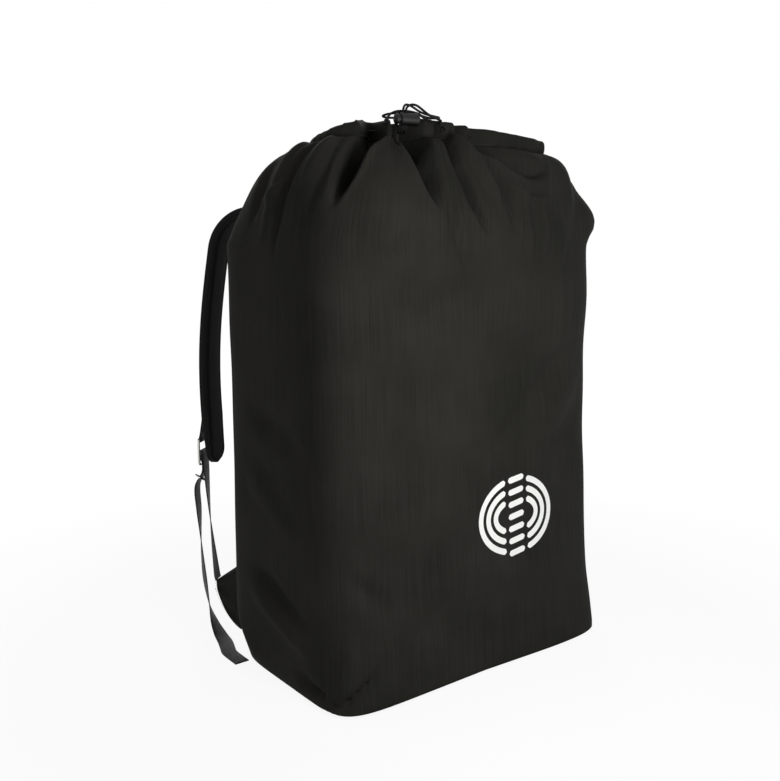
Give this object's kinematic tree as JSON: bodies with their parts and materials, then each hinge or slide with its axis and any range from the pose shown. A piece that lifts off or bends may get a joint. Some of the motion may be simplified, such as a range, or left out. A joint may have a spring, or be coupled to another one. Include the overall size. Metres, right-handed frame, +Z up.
{
  "type": "rope storage bag",
  "caption": "Tall black woven rope storage backpack with a gathered drawcord mouth, a spring cord lock, two padded shoulder straps, adjuster webbing and metal slide buckles.",
  "frame": {"origin": "middle of the base, on the surface that the bag stands on", "axes": "+Z up to the mouth, +Y out of the back where the shoulder straps are, +X along the width"},
  "size_m": [0.543, 0.4335, 0.7609],
  "materials": {
    "bag_fabric": "woven_coated_polyester",
    "strap_fabric": "woven_nylon",
    "strap_mesh": "spacer_mesh",
    "foam": "closed_cell_foam",
    "binding_tape": "grosgrain",
    "grey_webbing": "woven_webbing",
    "drawcord_fabric": "braided_cord",
    "black_plastic": "moulded",
    "nickel_steel": "nickel_plated_wire",
    "spring_steel": "drawn_wire"
  },
  "bodies": {
    "bag": {"base_panel": "bag_fabric", "front_panel": "bag_fabric", "back_panel": "bag_fabric", "side_panel_left": "bag_fabric", "side_panel_right": "bag_fabric", "mouth_hem": "bag_fabric", "drawcord": "drawcord_fabric", "strap_anchor": "binding_tape", "wing_left": "bag_fabric", "wing_right": "bag_fabric", "webbing_left": "grey_webbing", "webbing_right": "grey_webbing"},
    "cord_lock": {"cord_lock_barrel": "black_plastic", "cord_lock_spring": "spring_steel", "drawcord_tail_left": "drawcord_fabric", "drawcord_tail_right": "drawcord_fabric"},
    "cord_lock_plunger": {"cord_lock_plunger": "black_plastic"},
    "haul_loop": {"haul_loop": "grey_webbing"},
    "strap_left": {"strap_root_left": "strap_fabric", "strap_foam_left": "foam", "strap_cover_left": "strap_fabric", "strap_lining_left": "strap_mesh", "strap_binding_left": "binding_tape", "strap_tab_left": "grey_webbing"},
    "buckle_left": {"buckle_left": "nickel_steel"},
    "strap_right": {"strap_root_right": "strap_fabric", "strap_foam_right": "foam", "strap_cover_right": "strap_fabric", "strap_lining_right": "strap_mesh", "strap_binding_right": "binding_tape", "strap_tab_right": "grey_webbing"},
    "buckle_right": {"buckle_right": "nickel_steel"}
  },
  "joints": [
    {"name": "strap_left_swing", "type": "hinge", "parent": "bag", "child": "strap_left", "pos_m": [-0.11, 0.1362, 0.638], "axis": [1, 0, 0], "range_deg": [0, 40], "deforming": ["webbing_left"]},
    {"name": "buckle_left_tilt", "type": "hinge", "parent": "strap_left", "child": "buckle_left", "pos_m": [-0.21349, 0.25943, 0.28859], "axis": [0.766, 0.6428, 0], "range_deg": [-15, 45], "deforming": ["webbing_left"]},
    {"name": "strap_right_swing", "type": "hinge", "parent": "bag", "child": "strap_right", "pos_m": [0.11, 0.1362, 0.638], "axis": [1, 0, 0], "range_deg": [0, 40], "deforming": ["webbing_right"]},
    {"name": "buckle_right_tilt", "type": "hinge", "parent": "strap_right", "child": "buckle_right", "pos_m": [0.21349, 0.25954, 0.28859], "axis": [0.766, -0.6428, 0], "range_deg": [-15, 45], "deforming": ["webbing_right"]},
    {"name": "haul_loop_swing", "type": "hinge", "parent": "bag", "child": "haul_loop", "pos_m": [0, 0.13735, 0.638], "axis": [1, 0, 0], "range_deg": [0, 110]},
    {"name": "cord_lock_slide", "type": "slide", "parent": "bag", "child": "cord_lock", "axis": [0, 0, 1], "range_m": [0, 0.025], "deforming": ["drawcord"]},
    {"name": "cord_lock_press", "type": "slide", "parent": "cord_lock", "child": "cord_lock_plunger", "axis": [0.9759, -0.2184, 0], "range_m": [0, 0.003], "stiffness_N_per_m": 400, "springref_m": -0.004, "deforming": ["cord_lock_spring"]}
  ]
}
